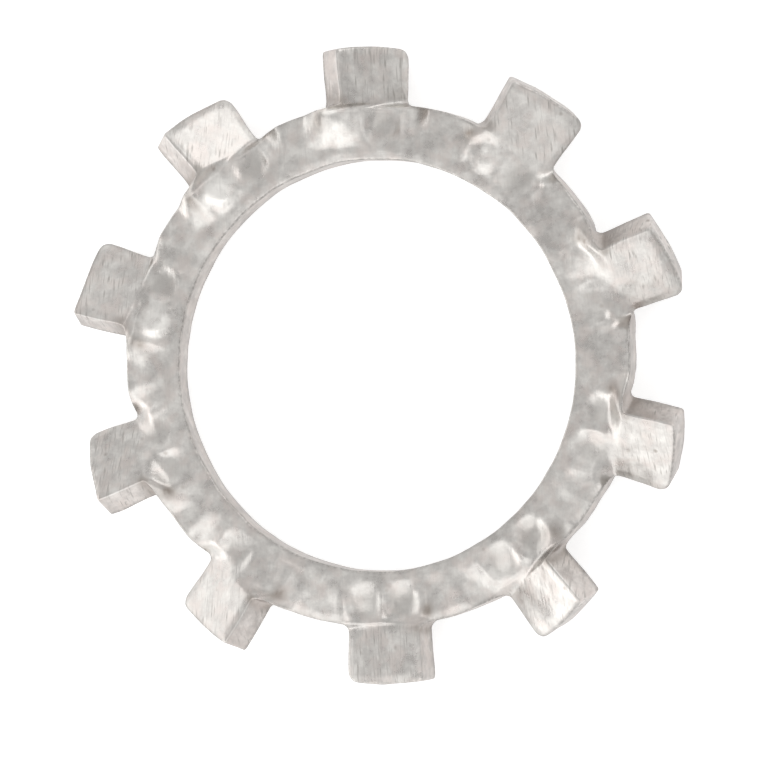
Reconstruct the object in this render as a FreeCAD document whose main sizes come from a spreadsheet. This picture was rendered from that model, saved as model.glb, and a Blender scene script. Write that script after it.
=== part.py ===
import FreeCAD, Part
import math
import os
import Sketcher
from FreeCAD import Vector

# External-tooth lock washer for an M12 screw, stamped from one sheet of steel.
# Millimetres. The screw axis is +Z, the middle of the flat sheet is Z = 0,
# and the first tooth points along +Y.

doc = FreeCAD.newDocument("lock_washer_source")

# Sizes

SIZES = [
    ("bore_diameter", 13.0, "mm, hole for an M12 screw"),
    ("ring_width", 1.75, "mm, from the hole to the bottoms of the gaps between teeth"),
    ("tooth_length", 1.8, "mm, from the bottoms of the gaps to the tooth tips"),
    ("sheet_thickness", 1.0, "mm"),
    ("tooth_count", 10, "teeth, evenly spaced"),
    ("tooth_width", 2.64, "mm, in the plane of the tooth"),
    ("tooth_twist", 33.0, "degrees, about the tooth's own radial line"),
    ("raised_corner_radius", 0.12, "mm, tip corner on the raised side"),
    ("lowered_corner_radius", 0.36, "mm, tip corner on the lowered side"),
    ("root_fillet", 0.25, "mm, where a tooth side meets the ring"),
    ("bore_edge_radius", 0.12, "mm, rolled upper edge of the punched hole"),
    ("flat_band", 0.35, "mm, ring left flat next to the hole"),
    ("bent_share", 0.48, "share of a tooth's twist that reaches into the rim"),
    ("neck_share", 0.6, "share of the root fillet that lies in the twisted neck"),
]

# How far each tooth of this washer is from the nominal twist, in degrees,
# clockwise from the first tooth as seen from above.
TWIST_ERRORS = [11, -8, 4, 2, 6, -21, -2, 0, -9, 8]

sizes = doc.addObject("Spreadsheet::Sheet", "sizes")
notes = [(alias, value, note) for alias, value, note in SIZES]
for index, value in enumerate(TWIST_ERRORS, start=1):
    notes.append((f"twist_error_{index:02d}", value, "degrees, added to this tooth's twist"))
for row, (alias, value, note) in enumerate(notes, start=1):
    sizes.set(f"A{row}", alias)
    sizes.set(f"B{row}", str(value))
    sizes.set(f"C{row}", note)
    sizes.setAlias(f"B{row}", alias)
doc.recompute()

bore_radius = sizes.bore_diameter / 2
ring_radius = bore_radius + sizes.ring_width
tip_radius = ring_radius + sizes.tooth_length
thickness = sizes.sheet_thickness
fillet = sizes.root_fillet
tooth_count = max(3, int(round(sizes.tooth_count)))
half_width = sizes.tooth_width / 2
pitch = 360 / tooth_count

# The ring is bent from here outwards.
bend_start = bore_radius + sizes.flat_band

# Where the root fillets leave the ring, and where the flat plate of a tooth starts.
rim_x = math.sqrt(ring_radius**2 - (half_width + fillet) ** 2)
plate_x = rim_x + fillet * sizes.neck_share

# How a sketch constraint names the sketch's own origin.
ORIGIN = (-1, 1)


def own_line(direction):
    """The sketch's own line along "x" or "y", as a constraint takes it."""
    return -1 if direction == "x" else -2


def start(edge):
    """An edge's first point, as a sketch constraint takes it."""
    return edge, 1


def end(edge):
    """An edge's last point."""
    return edge, 2


def centre(edge):
    """The centre of a circle or arc."""
    return edge, 3


def sketch_on(body, role, name):
    """A new sketch on one of a body's own three planes."""
    plane = [item for item in body.Origin.OriginFeatures if item.Role == role][0]
    sketch = body.newObject("Sketcher::SketchObject", name)
    sketch.AttachmentSupport = (plane, [""])
    sketch.MapMode = "FlatFace"
    return sketch


def drive(sketch, constraint, rule):
    """Adds a constraint whose value follows the sheet."""
    number = sketch.addConstraint(constraint)
    sketch.setExpression(f"Constraints[{number}]", rule)


def tooth_twist(index):
    """Twist in radians of one tooth of this washer."""
    column = index % len(TWIST_ERRORS) + 1
    error = getattr(sizes, f"twist_error_{column:02d}")
    return math.radians(sizes.tooth_twist + error)


def turned_to_tooth(shape, index):
    """Turns a shape that points along +X to one tooth's place."""
    shape.rotate(Vector(), Vector(0, 0, 1), 90 - index * pitch)
    return shape


def ease(share):
    """Smooth step from 0 to 1."""
    share = min(max(share, 0.0), 1.0)
    return share * share * (3 - 2 * share)


# Flat ring with a rolled hole edge and a window at each tooth

flat_ring = doc.addObject("PartDesign::Body", "flat_ring")
blank_outline = sketch_on(flat_ring, "XY_Plane", "blank_outline")
up = Vector(0, 0, 1)
rim_circle = blank_outline.addGeometry(Part.Circle(Vector(), up, ring_radius))
bore_circle = blank_outline.addGeometry(Part.Circle(Vector(), up, bore_radius))
for circle in (rim_circle, bore_circle):
    blank_outline.addConstraint(Sketcher.Constraint("Coincident", *centre(circle), *ORIGIN))
drive(
    blank_outline,
    Sketcher.Constraint("Diameter", rim_circle, 2 * ring_radius),
    "(sizes.bore_diameter + 2 * sizes.ring_width) * 1 mm",
)
drive(
    blank_outline,
    Sketcher.Constraint("Diameter", bore_circle, 2 * bore_radius),
    "sizes.bore_diameter * 1 mm",
)
blank = flat_ring.newObject("PartDesign::Pad", "blank")
blank.Profile = blank_outline
blank.Midplane = True
blank.setExpression("Length", "sizes.sheet_thickness * 1 mm")
doc.recompute()

# The punch rolls the edge where it enters and leaves the other edge sharp.
upper_bore_edge = [
    f"Edge{number}"
    for number, edge in enumerate(blank.Shape.Edges, start=1)
    if isinstance(edge.Curve, Part.Circle)
    and abs(edge.Curve.Radius - bore_radius) < 0.001
    and edge.CenterOfMass.z > 0
]
rolled_bore = flat_ring.newObject("PartDesign::Fillet", "rolled_bore")
rolled_bore.Base = (blank, upper_bore_edge)
rolled_bore.setExpression("Radius", "sizes.bore_edge_radius * 1 mm")
doc.recompute()

# Neighbouring windows all but meet at their inner corners.
window_half = bend_start * math.tan(math.radians(pitch / 2)) * 0.98

window_outline = sketch_on(flat_ring, "XY_Plane", "window_outline")
window_end = ring_radius * 1.2
corners = [
    Vector(-window_half, bend_start),
    Vector(window_half, bend_start),
    Vector(window_half, window_end),
    Vector(-window_half, window_end),
]
sides = [
    window_outline.addGeometry(Part.LineSegment(corners[place], corners[(place + 1) % 4]))
    for place in range(4)
]
for place in range(4):
    window_outline.addConstraint(
        Sketcher.Constraint("Coincident", *end(sides[place]), *start(sides[(place + 1) % 4]))
    )
for constraint in [
    Sketcher.Constraint("Symmetric", *start(sides[0]), *end(sides[0]), own_line("y")),
    Sketcher.Constraint("Vertical", sides[1]),
    Sketcher.Constraint("Horizontal", sides[2]),
    Sketcher.Constraint("Vertical", sides[3]),
]:
    window_outline.addConstraint(constraint)
drive(
    window_outline,
    Sketcher.Constraint("DistanceY", *ORIGIN, *start(sides[0]), bend_start),
    "(sizes.bore_diameter / 2 + sizes.flat_band) * 1 mm",
)
drive(
    window_outline,
    Sketcher.Constraint("DistanceY", *ORIGIN, *start(sides[2]), window_end),
    "(sizes.bore_diameter / 2 + sizes.ring_width) * 1.2 mm",
)
drive(
    window_outline,
    Sketcher.Constraint("DistanceX", *start(sides[0]), *end(sides[0]), 2 * window_half),
    "(sizes.bore_diameter + 2 * sizes.flat_band) * tan(180 / sizes.tooth_count) * 0.98 mm",
)
window = flat_ring.newObject("PartDesign::Pocket", "window")
window.Profile = window_outline
window.Midplane = True
window.setExpression("Length", "sizes.sheet_thickness * 2 mm")
doc.recompute()

windows = flat_ring.newObject("PartDesign::PolarPattern", "windows")
windows.Originals = [window]
windows.Axis = (window_outline, ["N_Axis"])
windows.Angle = 360
windows.setExpression("Occurrences", "sizes.tooth_count")
flat_ring.Tip = windows

# Bent part of the ring at each tooth

# Share of the bend that begins as a faint crease, where the rest eases in.
CREASE_SHARE = 0.3

# Share of the wave beside a tooth that still slopes where the wave ends.
SLOPE_SHARE = 0.15


def rim_angle(x, twist):
    """Angle to which the ring is bent at this distance along the tooth's line."""
    share = (x - bend_start) / (ring_radius - bend_start)
    bend = CREASE_SHARE * share + (1 - CREASE_SHARE) * ease(share)
    return twist * sizes.bent_share * bend


def bent_height(x, y, twist, level):
    """Height of the bent sheet's top or bottom at one place in plan.

    The sheet lies in the tooth's own plane near the tooth's middle line, and
    eases back to the flat before the next tooth, so the rim runs in waves.
    """
    angle = rim_angle(x, twist)
    turned = y + level * math.tan(angle / 2)
    reach = window_half - thickness / 2 * math.tan(angle / 2)
    share = min(abs(turned) / reach, 1)
    wave = (1 - SLOPE_SHARE) * (1 - share**6) ** 2 + SLOPE_SHARE * (1 - share**2)
    return level + turned * math.tan(angle) * wave


def bent_face(twist, level):
    """Top or bottom of the bent sheet, pointing along +X and past the rim."""
    rows = 5
    columns = 12
    length = ring_radius * 1.02 - bend_start
    grid = []
    for row in range(rows + 1):
        x = bend_start + length * row / rows
        line = []
        for column in range(columns + 1):
            y = window_half * (2 * column / columns - 1)
            line.append(Vector(x, y, bent_height(x, y, twist, level)))
        grid.append(line)
    surface = Part.BSplineSurface()
    surface.interpolate(grid)
    return surface.toShape()


def middle(edge):
    """Middle of an edge in plan."""
    point = edge.valueAt((edge.FirstParameter + edge.LastParameter) / 2)
    return Vector(point.x, point.y)


def bent_sheet(twist):
    """The bent sheet that fills one window, cut off at the rim."""
    top = bent_face(twist, thickness / 2)
    base = bent_face(twist, -thickness / 2)
    faces = [top, base]
    for edge in top.Edges:
        below = min(base.Edges, key=lambda other: middle(other).distanceToPoint(middle(edge)))
        faces.append(Part.makeRuledSurface(edge, below))
    shell = Part.makeShell(faces)
    shell.sewShape()
    sheet = Part.makeSolid(shell)
    if sheet.Volume < 0:
        sheet.reverse()
    height = thickness * 6
    rim = Part.makeCylinder(ring_radius, height, Vector(0, 0, -height / 2))
    return sheet.common(rim)


bends = []
for index in range(tooth_count):
    bend = doc.addObject("Part::Feature", f"bend_{index + 1:02d}")
    bend.Shape = turned_to_tooth(bent_sheet(tooth_twist(index)), index)
    bends.append(bend)

# Teeth


def edges_at(shape, place):
    """Names of the upright edges that stand at one place in plan."""
    return [
        f"Edge{number}"
        for number, edge in enumerate(shape.Edges, start=1)
        if all(math.dist((point.X, point.Y), place) < 0.001 for point in edge.Vertexes)
    ]


# The flat plate of a tooth, pointing along +X, with what is left of its root
# fillets where it comes out of the ring.
tooth_blank = doc.addObject("PartDesign::Body", "tooth_blank")
tooth_outline = sketch_on(tooth_blank, "XY_Plane", "tooth_outline")
depth = fillet - (plate_x - rim_x)
root_half = half_width + fillet - math.sqrt(fillet**2 - depth**2)
tip_x = math.sqrt(tip_radius**2 - half_width**2)
side_x = rim_x + fillet
fillet_start = math.asin(depth / fillet)

root_line = tooth_outline.addGeometry(
    Part.LineSegment(Vector(plate_x, root_half), Vector(plate_x, -root_half))
)
lowered_circle = Part.Circle(Vector(side_x, -half_width - fillet), up, fillet)
lowered_root = tooth_outline.addGeometry(
    Part.ArcOfCircle(lowered_circle, math.pi / 2, math.pi / 2 + fillet_start)
)
lowered_side = tooth_outline.addGeometry(
    Part.LineSegment(Vector(side_x, -half_width), Vector(tip_x, -half_width))
)
tip_angle = math.asin(half_width / tip_radius)
tip_circle = Part.Circle(Vector(), up, tip_radius)
tip_line = tooth_outline.addGeometry(Part.ArcOfCircle(tip_circle, -tip_angle, tip_angle))
raised_side = tooth_outline.addGeometry(
    Part.LineSegment(Vector(tip_x, half_width), Vector(side_x, half_width))
)
raised_circle = Part.Circle(Vector(side_x, half_width + fillet), up, fillet)
raised_root = tooth_outline.addGeometry(
    Part.ArcOfCircle(raised_circle, math.pi * 1.5 - fillet_start, math.pi * 1.5)
)
for constraint in [
    Sketcher.Constraint("Coincident", *end(root_line), *end(lowered_root)),
    Sketcher.Constraint("Tangent", *start(lowered_root), *start(lowered_side)),
    Sketcher.Constraint("Coincident", *end(lowered_side), *start(tip_line)),
    Sketcher.Constraint("Coincident", *end(tip_line), *start(raised_side)),
    Sketcher.Constraint("Tangent", *end(raised_side), *end(raised_root)),
    Sketcher.Constraint("Coincident", *start(raised_root), *start(root_line)),
    Sketcher.Constraint("Coincident", *centre(tip_line), *ORIGIN),
    Sketcher.Constraint("Symmetric", *start(root_line), *end(root_line), own_line("x")),
    Sketcher.Constraint("Horizontal", raised_side),
    Sketcher.Constraint("Horizontal", lowered_side),
    Sketcher.Constraint("Equal", raised_root, lowered_root),
]:
    tooth_outline.addConstraint(constraint)
drive(
    tooth_outline,
    Sketcher.Constraint("DistanceY", *ORIGIN, *start(raised_side), half_width),
    "sizes.tooth_width / 2 * 1 mm",
)
drive(
    tooth_outline,
    Sketcher.Constraint("DistanceY", *end(lowered_side), *ORIGIN, half_width),
    "sizes.tooth_width / 2 * 1 mm",
)
drive(
    tooth_outline,
    Sketcher.Constraint("Radius", tip_line, tip_radius),
    "(sizes.bore_diameter / 2 + sizes.ring_width + sizes.tooth_length) * 1 mm",
)
drive(
    tooth_outline,
    Sketcher.Constraint("Radius", raised_root, fillet),
    "sizes.root_fillet * 1 mm",
)
drive(
    tooth_outline,
    Sketcher.Constraint("DistanceX", *ORIGIN, *start(root_line), plate_x),
    "(sqrt((sizes.bore_diameter / 2 + sizes.ring_width) ^ 2 "
    "- (sizes.tooth_width / 2 + sizes.root_fillet) ^ 2) "
    "+ sizes.root_fillet * sizes.neck_share) * 1 mm",
)
drive(
    tooth_outline,
    Sketcher.Constraint("DistanceX", *start(root_line), *end(raised_side), side_x - plate_x),
    "sizes.root_fillet * (1 - sizes.neck_share) * 1 mm",
)

plate = tooth_blank.newObject("PartDesign::Pad", "tooth_plate")
plate.Profile = tooth_outline
plate.Midplane = True
plate.setExpression("Length", "sizes.sheet_thickness * 1 mm")
doc.recompute()

raised_corner = tooth_blank.newObject("PartDesign::Fillet", "raised_corner")
raised_corner.Base = (plate, edges_at(plate.Shape, (tip_x, half_width)))
raised_corner.setExpression("Radius", "sizes.raised_corner_radius * 1 mm")
doc.recompute()

lowered_corner = tooth_blank.newObject("PartDesign::Fillet", "lowered_corner")
lowered_corner.Base = (raised_corner, edges_at(raised_corner.Shape, (tip_x, -half_width)))
lowered_corner.setExpression("Radius", "sizes.lowered_corner_radius * 1 mm")
tooth_blank.Tip = lowered_corner
doc.recompute()


def neck_section(x, angle, half, depth):
    """Cross-section of a tooth's neck, turned about the tooth's middle line."""
    points = []
    for across, rise in [(half, depth), (half, -depth), (-half, -depth), (-half, depth)]:
        y = across * math.cos(angle) - rise * math.sin(angle)
        z = across * math.sin(angle) + rise * math.cos(angle)
        points.append(Vector(x, y, z))
    return Part.makePolygon(points + points[:1])


def tooth(twist):
    """One twisted tooth with the neck that joins it to the bent ring."""
    buried_x = rim_x - sizes.ring_width * 0.2
    buried_angle = rim_angle(buried_x, twist)
    inner = neck_section(buried_x, buried_angle, half_width * 0.9, thickness * 0.42)
    outer = neck_section(plate_x, twist, root_half, thickness / 2)
    neck = Part.makeLoft([inner, outer], True, True)
    flat = tooth_blank.Shape.copy()
    flat.rotate(Vector(), Vector(1, 0, 0), math.degrees(twist))
    return neck.fuse(flat)


formed_teeth = []
for index in range(tooth_count):
    item = doc.addObject("Part::Feature", f"tooth_{index + 1:02d}")
    item.Shape = turned_to_tooth(tooth(tooth_twist(index)), index)
    formed = doc.addObject("Part::MultiFuse", f"formed_tooth_{index + 1:02d}")
    formed.Shapes = [bends[index], item]
    formed_teeth.append(formed)

# Washer

lock_washer = doc.addObject("Part::MultiFuse", "lock_washer")
lock_washer.Label = "lock_washer"
lock_washer.Shapes = [flat_ring] + formed_teeth
lock_washer.Refine = True
doc.recompute()

# Checks and export

for item in doc.Objects:
    if "Invalid" in item.State or "Error" in item.State:
        raise RuntimeError(f"{item.Name} did not build")
    shape = getattr(item, "Shape", None)
    if shape is not None and (shape.isNull() or not shape.isValid()):
        raise RuntimeError(f"{item.Name} has no valid shape")

washer = lock_washer.Shape
if len(washer.Solids) != 1:
    raise RuntimeError("the washer is not one solid")
box = washer.optimalBoundingBox()
print("faces", len(washer.Faces), "volume", round(washer.Volume, 3))
print("size", round(box.XLength, 3), round(box.YLength, 3), round(box.ZLength, 3))
print("lowest", round(box.ZMin, 4), "highest", round(box.ZMax, 4))
os.makedirs("parts", exist_ok=True)
washer.exportStep("parts/lock_washer.step")
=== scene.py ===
import math

import bmesh
import bpy
import numpy as np
from mathutils import Matrix, Vector, noise


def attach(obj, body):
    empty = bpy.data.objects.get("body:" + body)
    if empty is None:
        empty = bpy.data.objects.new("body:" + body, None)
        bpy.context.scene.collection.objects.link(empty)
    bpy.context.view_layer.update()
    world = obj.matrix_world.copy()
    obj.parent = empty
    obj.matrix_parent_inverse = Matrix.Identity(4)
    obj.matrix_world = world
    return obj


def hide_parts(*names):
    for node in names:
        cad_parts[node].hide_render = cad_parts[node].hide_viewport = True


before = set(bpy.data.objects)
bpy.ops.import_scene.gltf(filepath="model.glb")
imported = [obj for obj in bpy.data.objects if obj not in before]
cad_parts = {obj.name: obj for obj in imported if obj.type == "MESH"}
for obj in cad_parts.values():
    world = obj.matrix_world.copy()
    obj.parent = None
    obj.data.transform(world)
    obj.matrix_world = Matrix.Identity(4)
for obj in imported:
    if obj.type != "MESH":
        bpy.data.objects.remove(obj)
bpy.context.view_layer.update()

# The washer lies flat with its hole along Z and its first tooth along +Y, as in the CAD.
# One pitch of its flat blank is made as a grid, with the tooth along +X, and stamped ten
# times by the CAD's formulas for bend and twist. Lengths are millimetres if nothing else is said.

# Blank

MM = 0.001
BORE_RADIUS = 6.5
RING_RADIUS = 8.25
TIP_RADIUS = 10.05
THICKNESS = 1.0
TOOTH_COUNT = 10
HALF_WIDTH = 1.32
RAISED_CORNER = 0.12
LOWERED_CORNER = 0.36
ROOT_FILLET = 0.25
PITCH = math.tau / TOOTH_COUNT

# Where the root fillets leave the ring, and where they end in the tooth's sides
RIM_X = math.sqrt(RING_RADIUS**2 - (HALF_WIDTH + ROOT_FILLET) ** 2)
SIDE_X = RIM_X + ROOT_FILLET

# Rolled edges of the sheet, and the gentle rollover of its upper face towards them
UPPER_ROLL = 0.06
LOWER_ROLL = 0.035
ROLLOVER_REACH = 0.3
ROLLOVER_DROP = 0.035

# Bend

# Twist in degrees of each tooth, clockwise from the one along +Y
TWISTS = [46, 25, 37, 35, 37, 12, 31, 33, 24, 41]

# How far each tooth's twist fades inwards into the ring: short is a sharp crease. It does so
# from the same place on all teeth, and a little outwards.
CREASES = [0.16, 0.7, 0.75, 0.6, 0.22, 0.16, 0.6, 0.7, 0.25, 0.3]
CREASE_X = RIM_X + 0.12
CREASE_OUT = 0.08

# The twisted plate fades out beside a tooth, from this far inside its side and over this width
PLATE_MARGIN = 0.15
PLATE_FADE = 0.6

# The ring stays flat next to the hole. From there its bend grows outwards to a share of the
# twist, partly evenly, and dies out on both sides in a wave that has a share of plain slope.
FLAT_BAND = 0.35
BENT_SHARE = 0.48
EVEN_SHARE = 0.3
SLOPE_SHARE = 0.15
REACH_SHARE = 0.98
BEND_START = BORE_RADIUS + FLAT_BAND
WAVE_REACH = BEND_START * math.tan(PITCH / 2) * REACH_SHARE

# How much narrower a twisted neck is, and how far out it gets its full width back
NECK_SHARE = 0.055
NECK_LENGTH = 1.4

# Marks of the punches

# The marks lie in the ring at a tooth's root: one on the raised side, one on the lowered
# side, and small ridges between and beside them. Each tooth's are a little out of place.
MARK_HEIGHT = 0.13
MARK_X = 7.45
MARK_Y = 0.62
MARK_LONG = 0.5
MARK_WIDE = 0.48
MARK_SHAPE = 2.0
MARK_SHIFT = 0.07
MARK_SEED = 5
RIDGE_SHARE = 0.42
RIDGE_WIDTH = 0.18
RIDGE_Y = 1.28

# Height of each tooth's two marks as shares of the full height, below 0 where one is sunk,
# and how much lighter the domes are painted, as rubbed wear and painted highlight
RAISED_MARKS = [0.8, 0.9, 0.65, -0.6, -1.1, -0.9, 0.7, -0.5, 1.1, 1.1]
LOWERED_MARKS = [-0.7, -0.7, -0.5, -0.5, -0.6, -0.6, -0.5, -0.6, -0.8, -0.8]
RUB_AND_SHEEN_SHARES = [0.7, 0.3, 0.1, 0.1, 0.1, 0.1, 0.2, 0.3, 0.7, 0.9]

# Burr pushed up along the roots, as a share of its height for each tooth
BURR_HEIGHT = 0.05
BURR_WIDTH = 0.055
BURR_FADE = 0.2
BURR_SHARES = [0.8, 0.0, 0.0, 0.0, 0.1, 1.0, 0.0, 0.0, 1.2, 0.2]

# Dents and painted shade

# Shallow dents: their height and waves to a millimetre, and by how much these are multiplied
# for the finer ones
DENT_HEIGHT = 0.03
DENT_PITCH = 0.9
FINE_DENT_PITCH = 2.3
FINE_DENT_HEIGHT = 0.4
DENT_SEED = 2

# How far in from a cut edge the metal gets painted shade. A band along the upper edge of a tooth's
# raised side gets little of it: its width, and the share of the painted shade that it keeps.
EDGE_SHADE = 0.1
UNSHADED_WIDTH = 0.2
UNSHADED_SHARE = 0.1

# Painted shade in the ring's bend beside a raised root, and at the foot of the tooth's cut side:
# where its middle is, and how far it spreads
BEND_SHADE = (7.75, 1.42)
BEND_SHADE_SPREAD = (0.3, 0.2)
FOOT_SHADE = (8.35, 1.25)
FOOT_SHADE_SPREAD = (0.2, 0.2)
FOOT_SHADE_SHARE = 0.8

# Grid

# Distances of the grid's first lines from a cut edge, and the number of cells beyond them
# in each part of the blank
EDGE_STEPS = [0.0, 0.01, 0.028, 0.06, 0.12]
TOOTH_COLUMNS = 40
TOOTH_ROWS = 24
GAP_COLUMNS = 9
RING_ROWS = 25
WALL_ROWS = 6

# Number of points along the outline's curves, and along an edge that distances are taken from
FILLET_POINTS = 24
CORNER_POINTS = 12
ARC_POINTS = 60
EDGE_POINTS = 160

# Points whose distances are taken at once, and how far the rim runs on past the pitch, in radians
EDGE_CHUNK = 50
RIM_OVERLAP = 0.05

# Points nearer together than this are one
WELD_DISTANCE = 0.001


# Flat blank


def graded(length, count, start=True):
    """Shares from 0 to 1 along a line, closer at its end and, if not told otherwise, its start."""
    first = EDGE_STEPS if start else [0.0]
    middle = np.linspace(first[-1], length - EDGE_STEPS[-1], count + 1)[1:-1]
    last = [length - step for step in reversed(EDGE_STEPS)]
    return np.array([*first, *middle, *last]) / length


def arc(centre, radius, start, end, count):
    """Points on an arc, angles in radians."""
    angles = np.linspace(start, end, count)
    x = centre[0] + radius * np.cos(angles)
    y = centre[1] + radius * np.sin(angles)
    return np.stack([x, y], axis=1)


def along(path, shares):
    """Points at these shares of a path's length."""
    steps = np.linalg.norm(np.diff(path, axis=0), axis=1)
    lengths = np.concatenate([[0.0], np.cumsum(steps)])
    places = np.asarray(shares) * lengths[-1]
    x = np.interp(places, lengths, path[:, 0])
    y = np.interp(places, lengths, path[:, 1])
    return np.stack([x, y], axis=1)


def tip_corner(radius, side):
    """Centre of a rounded tip corner, and the angle at which it meets the tip's arc."""
    y = HALF_WIDTH - radius
    x = math.sqrt((TIP_RADIUS - radius) ** 2 - y**2)
    return (x, side * y), math.atan2(y, x)


def side_path(radius, side):
    """One side of a tooth from the rim to the middle of its tip corner, for side -1 or 1."""
    root = (SIDE_X, HALF_WIDTH + ROOT_FILLET)
    fillet = arc(root, ROOT_FILLET, -math.pi, -math.pi / 2, FILLET_POINTS)
    centre, lean = tip_corner(radius, 1)
    corner = arc(centre, radius, math.pi / 2, (math.pi / 2 + lean) / 2, CORNER_POINTS)
    return np.concatenate([fillet, corner]) * [1, side]


def tip_path():
    """The tip from the middle of the lowered corner to the middle of the raised one."""
    low, low_lean = tip_corner(LOWERED_CORNER, -1)
    high, high_lean = tip_corner(RAISED_CORNER, 1)
    low_middle = (math.pi / 2 + low_lean) / 2
    high_middle = (math.pi / 2 + high_lean) / 2
    lowered = arc(low, LOWERED_CORNER, -low_middle, -low_lean, CORNER_POINTS)
    tip = arc((0, 0), TIP_RADIUS, -low_lean, high_lean, ARC_POINTS)
    raised = arc(high, RAISED_CORNER, high_lean, high_middle, CORNER_POINTS)
    return np.concatenate([lowered, tip[1:-1], raised])


def tooth_grid():
    """Places of a flat tooth's grid, rows outwards and columns from its lowered side."""
    root_half = HALF_WIDTH + ROOT_FILLET
    across = graded(2 * root_half, TOOTH_COLUMNS)
    out = graded(TIP_RADIUS - RIM_X, TOOTH_ROWS, start=False)
    root_y = (2 * across - 1) * root_half
    root = np.stack([np.sqrt(RING_RADIUS**2 - root_y**2), root_y], axis=1)
    tip = along(tip_path(), across)
    lowered = along(side_path(LOWERED_CORNER, -1), out)
    raised = along(side_path(RAISED_CORNER, 1), out)
    u = across[None, :, None]
    v = out[:, None, None]
    sides = (1 - u) * lowered[:, None] + u * raised[:, None]
    ends = (1 - v) * root[None] + v * tip[None]
    corners = (1 - u) * (1 - v) * root[0] + u * (1 - v) * root[-1]
    corners = corners + (1 - u) * v * tip[0] + u * v * tip[-1]
    return sides + ends - corners


def ring_grid(tooth):
    """Places of one pitch of the flat ring, rows outwards and columns anticlockwise."""
    root = np.arctan2(tooth[0, :, 1], tooth[0, :, 0])
    gap = np.linspace(root[-1], PITCH / 2, GAP_COLUMNS + 1)[1:]
    angles = np.concatenate([-gap[::-1], root, gap])
    width = RING_RADIUS - BORE_RADIUS
    radii = BORE_RADIUS + graded(width, RING_ROWS) * width
    x = radii[:, None] * np.cos(angles)[None]
    y = radii[:, None] * np.sin(angles)[None]
    return np.stack([x, y], axis=2)


def outline_distance(places):
    """Distance in plan from each place to the nearest cut edge."""
    root_angle = math.asin((HALF_WIDTH + ROOT_FILLET) / RING_RADIUS)
    rim = arc((0, 0), RING_RADIUS, root_angle, PITCH / 2 + RIM_OVERLAP, ARC_POINTS)
    shares = np.linspace(0, 1, EDGE_POINTS)
    paths = [tip_path(), side_path(LOWERED_CORNER, -1), side_path(RAISED_CORNER, 1)]
    edge = np.concatenate([rim, rim * [1, -1]] + [along(path, shares) for path in paths])
    flat = places.reshape(-1, 2)
    nearest = np.abs(np.sqrt((flat**2).sum(axis=1)) - BORE_RADIUS)
    for begin in range(0, len(edge), EDGE_CHUNK):
        gaps = flat[:, None] - edge[None, begin : begin + EDGE_CHUNK]
        nearest = np.minimum(nearest, np.sqrt((gaps**2).sum(axis=2)).min(axis=1))
    return nearest.reshape(places.shape[:-1])


def ease(share):
    """Smooth step from 0 to 1."""
    share = np.clip(share, 0, 1)
    return share * share * (3 - 2 * share)


def rolled_drop(distance, radius):
    """How far a sheet's face drops towards a cut edge with this rolled radius."""
    reach = np.clip(radius - distance, 0, radius)
    return radius - np.sqrt(radius**2 - reach**2)


def rollover(distance):
    """Gentle drop of the sheared sheet's upper face towards its cut edges."""
    return ROLLOVER_DROP * (1 - ease(distance / ROLLOVER_REACH))


def face_height(distance, side):
    """Height of the sheet's upper or lower face at this distance from a cut edge."""
    if side < 0:
        return -(THICKNESS / 2 - rolled_drop(distance, LOWER_ROLL))
    return THICKNESS / 2 - rolled_drop(distance, UPPER_ROLL) - rollover(distance)


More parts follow.
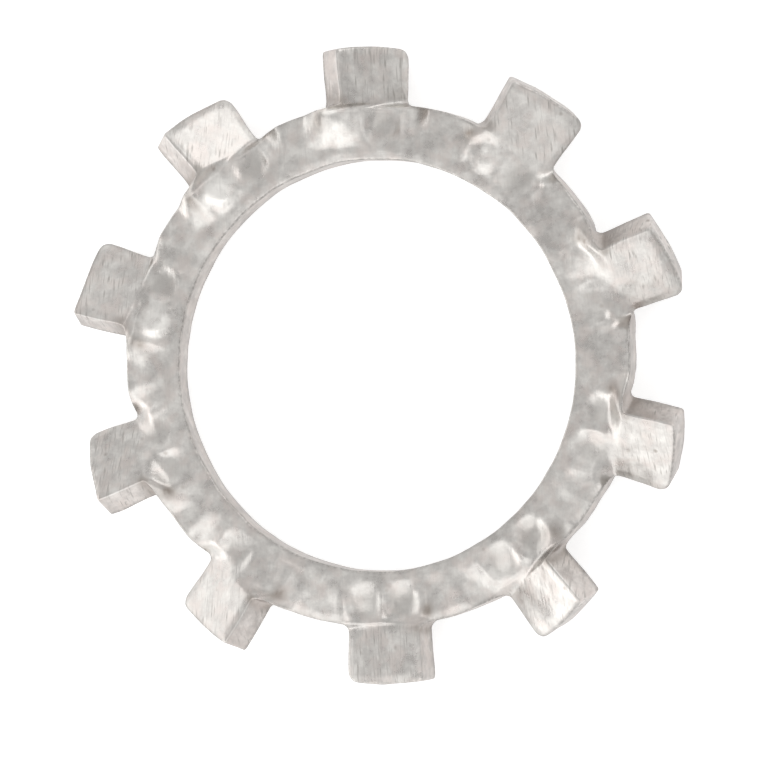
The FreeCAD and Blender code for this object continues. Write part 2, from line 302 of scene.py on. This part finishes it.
class Sector:
    """One pitch of the flat blank: points, their distance from a cut edge, faces, and which
    faces are cut walls."""

    def __init__(self):
        self.points = []
        self.far = []
        self.quads = []
        self.cut = []
        tooth = tooth_grid()
        ring = ring_grid(tooth)

        # The outermost lines of both grids lie on the cut edges themselves.
        tooth_far = outline_distance(tooth)
        tooth_far[:, 0] = 0
        tooth_far[:, -1] = 0
        tooth_far[-1] = 0
        ring_far = outline_distance(ring)
        ring_far[0] = 0
        ring_far[-1, : GAP_COLUMNS + 1] = 0
        ring_far[-1, -GAP_COLUMNS - 1 :] = 0

        upper_edges = self.sheet_face(ring, ring_far, tooth, tooth_far, 1)
        lower_edges = self.sheet_face(ring, ring_far, tooth, tooth_far, -1)
        for upper, lower in zip(upper_edges, lower_edges):
            self.wall(upper, lower)
        self.points = np.array(self.points)
        self.far = np.array(self.far)

    def add(self, place, z, far):
        """Adds a point and gives back its number."""
        self.points.append((place[0], place[1], z))
        self.far.append(far)
        return len(self.points) - 1

    def add_rows(self, places, heights, distances):
        """Adds rows of points and gives back their numbers."""
        rows = zip(places, heights, distances)
        return [[self.add(*point) for point in zip(*row)] for row in rows]

    def face(self, corners, cut):
        """Adds a face."""
        self.quads.append(corners)
        self.cut.append(cut)

    def sheet_face(self, ring, ring_far, tooth, tooth_far, side):
        """Upper or lower face of the sheet. Gives back its bore edge and its outer edge."""
        ring_rows = self.add_rows(ring, face_height(ring_far, side), ring_far)
        root_row = ring_rows[-1][GAP_COLUMNS:-GAP_COLUMNS]
        tooth_z = face_height(tooth_far, side)
        tooth_rows = [root_row] + self.add_rows(tooth[1:], tooth_z[1:], tooth_far[1:])
        for rows in (ring_rows, tooth_rows):
            for near, far in zip(rows, rows[1:]):
                for column in range(len(near) - 1):
                    corners = [near[column], far[column], far[column + 1], near[column + 1]]
                    self.face(corners if side > 0 else corners[::-1], False)
        outer_edge = ring_rows[-1][: GAP_COLUMNS + 1]
        outer_edge += [row[0] for row in tooth_rows[1:]]
        outer_edge += tooth_rows[-1][1:]
        outer_edge += [row[-1] for row in reversed(tooth_rows[1:-1])]
        outer_edge += ring_rows[-1][-GAP_COLUMNS - 1 :]
        return ring_rows[0], outer_edge[::-1]

    def wall(self, upper, lower):
        """Cut wall between the upper and lower edge, facing right of the way they run."""
        rows = [upper]
        for number in range(1, WALL_ROWS):
            share = number / WALL_ROWS
            far = min(share, 1 - share) * THICKNESS
            row = []
            for high, low in zip(upper, lower):
                high_z = self.points[high][2]
                low_z = self.points[low][2]
                row.append(self.add(self.points[high], high_z + (low_z - high_z) * share, far))
            rows.append(row)
        rows.append(lower)
        for above, below in zip(rows, rows[1:]):
            for column in range(len(above) - 1):
                corners = [above[column], above[column + 1], below[column + 1], below[column]]
                self.face(corners, True)


# Stamping


def blob(x, y):
    """A soft round dome of height 1 with a broad top."""
    return np.exp(-(((x / MARK_LONG) ** 2 + (y / MARK_WIDE) ** 2) ** MARK_SHAPE))


def ridges(x, y):
    """Three narrow ridges of height 1 that run outwards."""
    across = sum(np.exp(-(((y - place) / RIDGE_WIDTH) ** 2)) for place in (-RIDGE_Y, 0, RIDGE_Y))
    return across * np.exp(-((x / MARK_LONG) ** 4))


def die_mark(points, shift, raised, lowered):
    """Share of the punches' height left in the ring at one tooth's root."""
    x = points[:, 0] - MARK_X - shift[0]
    y = points[:, 1] - shift[1]
    pair = raised * blob(x, y - MARK_Y) + lowered * blob(x, y + MARK_Y)
    return pair + RIDGE_SHARE * ridges(x, y)


def burr(points):
    """Share of the burr's height along a tooth's root."""
    x, y = points.T[:2]
    beside = 1 - ease((np.abs(y) - HALF_WIDTH + BURR_FADE / 2) / BURR_FADE)
    return np.exp(-(((x - RIM_X) / BURR_WIDTH) ** 2)) * beside


def tooth_share(points):
    """1 on the teeth and 0 on the ring."""
    return ease((points[:, 0] - RIM_X) / ROOT_FILLET)


def stamped(points, twist, crease, marks):
    """Bends the flat blank's points to the form of one tooth that points along +X."""
    x, y, z = points.T
    neck = tooth_share(points) * (1 - ease((x - SIDE_X) / NECK_LENGTH))
    y = y * (1 - NECK_SHARE * neck)

    share = np.clip((x - BEND_START) / (RING_RADIUS - BEND_START), 0, 1)
    angle = twist * BENT_SHARE * (EVEN_SHARE * share + (1 - EVEN_SHARE) * ease(share))
    turned = y + z * np.tan(angle / 2)
    reach = WAVE_REACH - THICKNESS / 2 * np.tan(angle / 2)
    far = np.clip(np.abs(turned) / reach, 0, 1)
    wave = (1 - SLOPE_SHARE) * (1 - far**6) ** 2 + SLOPE_SHARE * (1 - far**2)
    ring_z = z + turned * np.tan(angle) * wave + marks

    tooth_y = y * math.cos(twist) - z * math.sin(twist)
    tooth_z = y * math.sin(twist) + z * math.cos(twist)
    beside = 1 - ease((np.abs(y) - HALF_WIDTH + PLATE_MARGIN) / PLATE_FADE)
    start = CREASE_X - crease
    plate = ease((x - start) / (crease + CREASE_OUT))
    plate = plate * (beside + (1 - beside) * tooth_share(points))
    return np.stack([x, y + (tooth_y - y) * plate, ring_z + (tooth_z - ring_z) * plate], axis=1)


def wear_sheen_and_shade(points, mark, rub_and_sheen):
    """Light painted on the marks: 1 on a dome, as rubbed wear and painted highlight,
    and below 0 in a sunk hollow, as painted shade.
    """
    height = mark * np.sign(points[:, 2])
    return np.where(height > 0, height * rub_and_sheen, height)


def edge_shade(sector):
    """Painted shade from how near each point is to a cut edge. A tooth's raised upper edge
    gets little of it.
    """
    near = np.clip(1 - sector.far / EDGE_SHADE, 0, 1)
    x, y, z = sector.points.T
    unshaded = (x > RIM_X) & (y > HALF_WIDTH - UNSHADED_WIDTH) & (z > 0)
    return near * np.where(unshaded, UNSHADED_SHARE, 1)


def crease_shade_spot(points, middle, spread):
    """A soft patch of painted shade of strength 1."""
    x, y = points.T[:2]
    return np.exp(-(((x - middle[0]) / spread[0]) ** 2) - ((y - middle[1]) / spread[1]) ** 2)


def crease_shade(points):
    """Painted shade in the bend beside a tooth's raised root and at the foot of its cut side."""
    bend = crease_shade_spot(points, BEND_SHADE, BEND_SHADE_SPREAD)
    foot = crease_shade_spot(points, FOOT_SHADE, FOOT_SHADE_SPREAD)
    return np.clip(bend + FOOT_SHADE_SHARE * foot, 0, 1)


# Washer's mesh


def stamped_tooth(points, index, mark):
    """Points of one tooth's pitch, stamped and turned to their place."""
    marks = MARK_HEIGHT * mark + BURR_HEIGHT * BURR_SHARES[index] * burr(points)
    x, y, z = stamped(points, math.radians(TWISTS[index]), CREASES[index], marks).T
    turn = math.pi / 2 - index * PITCH
    turned_x = x * math.cos(turn) - y * math.sin(turn)
    turned_y = x * math.sin(turn) + y * math.cos(turn)
    return np.stack([turned_x, turned_y, z], axis=1)


def dented(points):
    """The points moved a little, as dents move them, the same in each run."""
    noise.seed_set(DENT_SEED)
    moved = points.copy()
    for point in moved:
        place = Vector(point) * DENT_PITCH
        fine = noise.noise_vector(place * FINE_DENT_PITCH) * FINE_DENT_HEIGHT
        point += np.array(noise.noise_vector(place) + fine) * DENT_HEIGHT
    return moved


def weld(mesh):
    """Joins the pitches where they meet, with all faces turned outwards."""
    work = bmesh.new()
    work.from_mesh(mesh)
    bmesh.ops.remove_doubles(work, verts=work.verts, dist=WELD_DISTANCE * MM)
    bmesh.ops.recalc_face_normals(work, faces=work.faces)
    work.to_mesh(mesh)
    work.free()


def washer_mesh():
    """The whole washer from ten stamped pitches of the blank, with its painted shade and
    highlight, rubbed wear and teeth as attributes.
    """
    sector = Sector()
    chance = np.random.default_rng(MARK_SEED)
    points = []
    rub_sheen_and_shade = []
    quads = []
    for index in range(TOOTH_COUNT):
        shift = chance.uniform(-MARK_SHIFT, MARK_SHIFT, 2)
        mark = die_mark(sector.points, shift, RAISED_MARKS[index], LOWERED_MARKS[index])
        points.append(stamped_tooth(sector.points, index, mark))
        rub_sheen_and_shade.append(wear_sheen_and_shade(sector.points, mark, RUB_AND_SHEEN_SHARES[index]))
        first = index * len(sector.points)
        quads += [[first + corner for corner in corners] for corners in sector.quads]
    mesh = bpy.data.meshes.new("lock_washer_looks")
    mesh.from_pydata((dented(np.concatenate(points)) * MM).tolist(), [], quads)
    # Attributes: painted shade along cut edges, painted highlight with rubbed wear and painted
    # shade on the marks, painted shade in the creases, and where the teeth are
    attributes = {
        "edge": np.tile(edge_shade(sector), TOOTH_COUNT),
        "wear_sheen_and_shade": np.concatenate(rub_sheen_and_shade),
        "crease_shade": np.tile(crease_shade(sector.points), TOOTH_COUNT),
        "tooth": np.tile(tooth_share(sector.points), TOOTH_COUNT),
    }
    for name, values in attributes.items():
        attribute = mesh.attributes.new(name=name, type="FLOAT", domain="POINT")
        attribute.data.foreach_set("value", values.astype(np.float32))
    mesh.polygons.foreach_set("material_index", [int(cut) for cut in sector.cut] * TOOTH_COUNT)
    mesh.polygons.foreach_set("use_smooth", [True] * len(quads))
    weld(mesh)
    return mesh


# Values of the materials

# Darkest and lightest metal of the sheet's faces and of its cut walls, and their roughness
ROLLED_DARK = (0.47, 0.45, 0.43, 1)
ROLLED_LIGHT = (0.69, 0.67, 0.64, 1)
ROLLED_ROUGHNESS = (0.24, 0.38)
CUT_DARK = (0.46, 0.43, 0.41, 1)
CUT_LIGHT = (0.74, 0.70, 0.67, 1)
CUT_ROUGHNESS = (0.32, 0.5)

# Colours that lie over them
WARM_STEEL = (0.62, 0.555, 0.52, 1)
# Lighter steel on the domes, as rubbed wear and painted highlight, and darker steel in the sunk
# hollows as painted shade
RUBBED_SHEEN_STEEL = (0.82, 0.80, 0.765, 1)
HOLLOW_SHADE_STEEL = (0.44, 0.42, 0.395, 1)
# Painted shade along the cut edges
EDGE_SHADE_STEEL = (0.28, 0.265, 0.25, 1)
SCRATCH_STEEL = (0.34, 0.32, 0.30, 1)
# Painted shade in the creases by the roots, also the colour of the pits
CREASE_SHADE_AND_PIT_COLOUR = (0.26, 0.22, 0.19, 1)

# Patterns: waves to a millimetre, detail, and how much they are squeezed along X, Y and Z.
# The drawn lines and scratches run along Y. The pits' cells are counted to a metre.
EVEN = (1, 1, 1)
PATCHES = (0.9, 2.0, EVEN)
WARMTH = (1.7, 2.0, EVEN)
MOTTLE = (2.4, 5.0, EVEN)
GRAIN = (9.0, 4.0, EVEN)
DRAWN_LINES = (1.0, 2.0, (15, 1.3, 4))
SCRATCHES = (1.0, 1.0, (17, 1.2, 3))
PATTERN_ROUGHNESS = 0.6
PIT_CELLS = 1700.0

# Shares of the mottle, the grain and the patches in the metal's main pattern
MOTTLE_SHARE = 0.5
GRAIN_SHARE = 0.15
PATCH_SHARE = 0.35

# Ranges: a pattern or attribute between the first two numbers becomes a share between the last
# two. The one for the roughness gets its last two numbers from each metal.
METAL_RANGE = (0.4, 0.6, 0.0, 1.0)
ROUGHNESS_RANGE = (0.35, 0.65)
WARMTH_RANGE = (0.45, 0.65, 0.0, 0.5)
# The next four: painted highlight with rubbed wear on the domes, painted shade in the hollows, and
# painted shade in the creases
RUB_SHEEN_MOTTLE_RANGE = (0.35, 0.6, 0.5, 1.1)
RUBBED_SHEEN_RANGE = (0.1, 0.7, 0.0, 0.9)
HOLLOW_SHADE_RANGE = (-0.1, -0.7, 0.0, 0.5)
CREASE_SHADE_MOTTLE_RANGE = (0.35, 0.6, 0.3, 0.9)
SCRATCH_RANGE = (0.55, 0.7, 0.0, 0.75)
SCRATCH_MOTTLE_RANGE = (0.42, 0.58, 0.2, 1.0)
SCRATCH_TOOTH_RANGE = (0.0, 1.0, 0.15, 1.0)
# Painted shade along the cut edges, broken up by the grain
EDGE_GRAIN_RANGE = (0.38, 0.62, 0.1, 0.9)
PIT_CELL_RANGE = (0.55, 0.6, 0.0, 1.0)
PIT_DISTANCE_RANGE = (0.05, 0.16, 1.0, 0.0)
PIT_PATCH_RANGE = (0.45, 0.6, 0.1, 0.6)

# Bumps: strength and height
DRAWN_BUMP = (0.5, 0.012)
MOTTLE_BUMP = (0.5, 0.02)
GRAIN_BUMP = (0.45, 0.008)
PIT_BUMP = (0.4, 0.006)

# Floor: colours, grain to a metre, and how much it glows for the camera and in reflections
FLOOR_DARK = (0.70, 0.70, 0.70, 1)
FLOOR_LIGHT = (0.74, 0.74, 0.74, 1)
FLOOR_ROUGHNESS = 0.9
FLOOR_GRAIN = 900.0
FLOOR_DETAIL = 3.0
CAMERA_GLOW = 0.55
MIRROR_GLOW = 0.4


# Materials


class Paint:
    """A new node material, with short ways to add nodes. Their inputs are given as a number,
    a colour or another node's output."""

    def __init__(self, name):
        self.material = bpy.data.materials.new(name)
        self.material.use_nodes = True
        self.tree = self.material.node_tree
        self.shader = self.tree.nodes["Principled BSDF"]
        self.place = self.node("ShaderNodeTexCoord").outputs["Object"]

    def put(self, value, socket):
        """Joins an output to a socket, or sets a plain value on it."""
        if isinstance(value, bpy.types.NodeSocket):
            self.tree.links.new(value, socket)
        else:
            socket.default_value = value

    def node(self, kind, inputs=(), **settings):
        """A new node with these settings and inputs."""
        node = self.tree.nodes.new(kind)
        for name, value in settings.items():
            setattr(node, name, value)
        for name, value in dict(inputs).items():
            self.put(value, node.inputs[name])
        return node

    def attribute(self, name):
        """One of the mesh's attributes."""
        return self.node("ShaderNodeAttribute", attribute_name=name).outputs["Fac"]

    def maths(self, operation, first, second):
        """Two values worked into one."""
        node = self.node("ShaderNodeMath", {0: first, 1: second}, operation=operation)
        return node.outputs["Value"]

    def plus(self, first, second):
        """The sum of two values."""
        return self.maths("ADD", first, second)

    def times(self, first, second):
        """The product of two values."""
        return self.maths("MULTIPLY", first, second)

    def pattern(self, scale, detail, stretch):
        """A cloudy pattern that is fixed to the object."""
        inputs = {"Vector": self.place, "Scale": [side / MM for side in stretch]}
        place = self.node("ShaderNodeMapping", inputs).outputs["Vector"]
        inputs = {"Vector": place, "Scale": scale, "Detail": detail, "Roughness": PATTERN_ROUGHNESS}
        return self.node("ShaderNodeTexNoise", inputs).outputs["Fac"]

    def span(self, value, numbers):
        """A value turned from one range into another, and kept inside it."""
        names = ("From Min", "From Max", "To Min", "To Max")
        inputs = {"Value": value, **dict(zip(names, numbers))}
        return self.node("ShaderNodeMapRange", inputs).outputs["Result"]

    def blend(self, share, first, second):
        """The first colour with this share of the second one over it."""
        inputs = {"Factor": share, "A": first, "B": second}
        return self.node("ShaderNodeMix", inputs, data_type="RGBA").outputs["Result"]

    def bump(self, height, relief, before=None):
        """Normal of a surface with this relief, over an earlier normal if there is one."""
        strength, distance = relief
        inputs = {"Height": height, "Strength": strength, "Distance": distance * MM}
        if before is not None:
            inputs["Normal"] = before
        return self.node("ShaderNodeBump", inputs).outputs["Normal"]


def pits(paint):
    """Small round pits, in only some of the pattern's cells."""
    inputs = {"Vector": paint.place, "Scale": PIT_CELLS}
    cells = paint.node("ShaderNodeTexVoronoi", inputs).outputs
    chosen = paint.span(cells["Color"], PIT_CELL_RANGE)
    return paint.times(paint.span(cells["Distance"], PIT_DISTANCE_RANGE), chosen)


def sheen_and_shade_colour(paint, colour, mottle):
    """Lighter on the domes, as rubbed wear and painted highlight, with painted shade in the
    hollows and in the creases by the roots.
    """
    # Lighter domes, as rubbed wear and painted highlight, and painted shade in the sunk hollows
    rub_sheen_and_shade = paint.times(paint.attribute("wear_sheen_and_shade"), paint.span(mottle, RUB_SHEEN_MOTTLE_RANGE))
    colour = paint.blend(paint.span(rub_sheen_and_shade, RUBBED_SHEEN_RANGE), colour, RUBBED_SHEEN_STEEL)
    colour = paint.blend(paint.span(rub_sheen_and_shade, HOLLOW_SHADE_RANGE), colour, HOLLOW_SHADE_STEEL)
    # Painted shade in the creases by the roots
    painted_crease_shade = paint.times(paint.attribute("crease_shade"), paint.span(mottle, CREASE_SHADE_MOTTLE_RANGE))
    return paint.blend(painted_crease_shade, colour, CREASE_SHADE_AND_PIT_COLOUR)


def scratched_colour(paint, colour, mottle):
    """Fine dark scratches, mostly on the teeth."""
    scratches = paint.span(paint.pattern(*SCRATCHES), SCRATCH_RANGE)
    scratches = paint.times(scratches, paint.span(mottle, SCRATCH_MOTTLE_RANGE))
    on_teeth = paint.span(paint.attribute("tooth"), SCRATCH_TOOTH_RANGE)
    return paint.blend(paint.times(scratches, on_teeth), colour, SCRATCH_STEEL)


def steel(name, dark, light, roughness):
    """Bare steel: mottled, finely drawn, scratched and pitted, lighter on the domes as rubbed
    wear and painted highlight, with painted shade in hollows, creases and along cut edges.
    """
    paint = Paint(name)
    patches = paint.pattern(*PATCHES)
    mottle = paint.pattern(*MOTTLE)
    grain = paint.pattern(*GRAIN)
    pitted = pits(paint)
    metal = paint.plus(paint.times(mottle, MOTTLE_SHARE), paint.times(grain, GRAIN_SHARE))
    metal = paint.plus(metal, paint.times(patches, PATCH_SHARE))

    colour = paint.blend(paint.span(metal, METAL_RANGE), dark, light)
    warmth = paint.span(paint.pattern(*WARMTH), WARMTH_RANGE)
    colour = paint.blend(warmth, colour, WARM_STEEL)
    colour = sheen_and_shade_colour(paint, colour, mottle)
    colour = scratched_colour(paint, colour, mottle)
    # Painted shade along the cut edges
    edge = paint.times(paint.attribute("edge"), paint.span(grain, EDGE_GRAIN_RANGE))
    colour = paint.blend(edge, colour, EDGE_SHADE_STEEL)
    dark_pits = paint.times(pitted, paint.span(patches, PIT_PATCH_RANGE))
    colour = paint.blend(dark_pits, colour, CREASE_SHADE_AND_PIT_COLOUR)

    sunk_pits = paint.times(pitted, -1.0)
    normal = paint.bump(paint.pattern(*DRAWN_LINES), DRAWN_BUMP)
    normal = paint.bump(mottle, MOTTLE_BUMP, normal)
    normal = paint.bump(grain, GRAIN_BUMP, normal)
    normal = paint.bump(sunk_pits, PIT_BUMP, normal)

    paint.put(1.0, paint.shader.inputs["Metallic"])
    paint.put(colour, paint.shader.inputs["Base Color"])
    paint.put(paint.span(metal, ROUGHNESS_RANGE + roughness), paint.shader.inputs["Roughness"])
    paint.put(normal, paint.shader.inputs["Normal"])
    return paint.material


def floor_material():
    """Pale matt studio floor that looks white to the camera and in reflections."""
    paint = Paint("pale_floor")
    inputs = {"Vector": paint.place, "Scale": FLOOR_GRAIN, "Detail": FLOOR_DETAIL}
    grain = paint.node("ShaderNodeTexNoise", inputs).outputs["Fac"]
    rays = paint.node("ShaderNodeLightPath").outputs
    mirrored = paint.maths("MAXIMUM", rays["Is Glossy Ray"], rays["Is Transmission Ray"])
    glow = paint.times(rays["Is Camera Ray"], CAMERA_GLOW)
    glow = paint.plus(glow, paint.times(mirrored, MIRROR_GLOW))
    paint.put(paint.blend(grain, FLOOR_DARK, FLOOR_LIGHT), paint.shader.inputs["Base Color"])
    paint.put(FLOOR_ROUGHNESS, paint.shader.inputs["Roughness"])
    paint.put((1, 1, 1, 1), paint.shader.inputs["Emission Color"])
    paint.put(glow, paint.shader.inputs["Emission Strength"])
    return paint.material


# Objects


def build_washer():
    """The dressed washer, which stands for the plain part."""
    mesh = washer_mesh()
    mesh.materials.append(steel("rolled_steel", ROLLED_DARK, ROLLED_LIGHT, ROLLED_ROUGHNESS))
    mesh.materials.append(steel("cut_steel", CUT_DARK, CUT_LIGHT, CUT_ROUGHNESS))
    washer = bpy.data.objects.new("lock_washer_looks", mesh)
    bpy.context.collection.objects.link(washer)
    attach(washer, "root")
    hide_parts("lock_washer")
    return washer


def build_floor(height):
    """Studio floor under the lowest tooth edges."""
    floor_side_m = 1.2
    bpy.ops.mesh.primitive_plane_add(size=floor_side_m, location=(0, 0, height))
    floor = bpy.context.object
    floor.name = "studio_floor"
    floor.data.materials.append(floor_material())


def softbox(name, bearing, height, brightness, size_m, distance_m=0.3):
    """A soft lamp that faces the washer: bearing in degrees anticlockwise from +X, height in
    degrees above the floor. Its power keeps its face equally bright whatever its size."""
    bearing = math.radians(bearing)
    height = math.radians(height)
    width, tall = size_m
    lamp = bpy.data.lights.new(name, "AREA")
    lamp.shape = "RECTANGLE"
    lamp.size = width
    lamp.size_y = tall
    lamp.energy = math.pi * brightness * width * tall
    x = math.cos(bearing) * math.cos(height)
    y = math.sin(bearing) * math.cos(height)
    direction = Vector((x, y, math.sin(height)))
    holder = bpy.data.objects.new(name, lamp)
    holder.location = direction * distance_m
    holder.rotation_euler = direction.to_track_quat("Z", "Y").to_euler()
    bpy.context.collection.objects.link(holder)


def build_room():
    """A pale room all round."""
    room = bpy.data.worlds.new("studio_room")
    room.use_nodes = True
    background = room.node_tree.nodes["Background"]
    background.inputs["Color"].default_value = (0.9, 0.9, 0.9, 1)
    background.inputs["Strength"].default_value = 0.88
    bpy.context.scene.world = room


def build_lights():
    """Softboxes where the photo's bright faces mirror them."""
    softbox("upper_right_softbox", bearing=47, height=22, brightness=1.2, size_m=(0.16, 0.16))
    softbox("upper_left_softbox", bearing=168, height=14, brightness=0.9, size_m=(0.22, 0.14))
    softbox("lower_left_softbox", bearing=208, height=10, brightness=1.5, size_m=(0.2, 0.18))
    softbox("front_softbox", bearing=255, height=20, brightness=0.95, size_m=(0.3, 0.16))
    softbox("front_high_softbox", bearing=308, height=50, brightness=0.4, size_m=(0.14, 0.14))
    softbox("back_softbox", bearing=105, height=32, brightness=0.3, size_m=(0.16, 0.14))
    softbox(
        "near_softbox", bearing=248, height=56, brightness=0.9, size_m=(0.05, 0.04), distance_m=0.07
    )
    softbox("camera_softbox", bearing=15, height=66, brightness=0.4, size_m=(0.14, 0.12))


def build_camera():
    """Looks down on the washer from a little to its right, as the photo's squeezed width asks."""
    across = 24.455
    distance = 160
    side_angle = math.radians(16)
    roll = math.radians(2.5)
    shift_right = 0.26
    shift_down = 0.68
    up = Vector((math.sin(roll), math.cos(roll), 0))
    right = Vector((math.cos(roll), -math.sin(roll), 0))
    backwards = Vector((0, 0, 1)) * math.cos(side_angle) + right * math.sin(side_angle)
    camera_right = up.cross(backwards)
    target = (camera_right * shift_right - up * shift_down) * MM
    lens = bpy.data.cameras.new("camera")
    lens.lens = lens.sensor_width * distance / across
    lens.clip_start = 0.001
    lens.clip_end = 10
    camera = bpy.data.objects.new("camera", lens)
    camera.location = target + backwards * distance * MM
    camera.rotation_euler = Matrix((camera_right, up, backwards)).transposed().to_euler()
    bpy.context.collection.objects.link(camera)
    bpy.context.scene.camera = camera


washer = build_washer()
build_floor(min(vertex.co.z for vertex in washer.data.vertices))
build_room()
build_lights()
build_camera()
bpy.context.scene.view_settings.view_transform = "Standard"
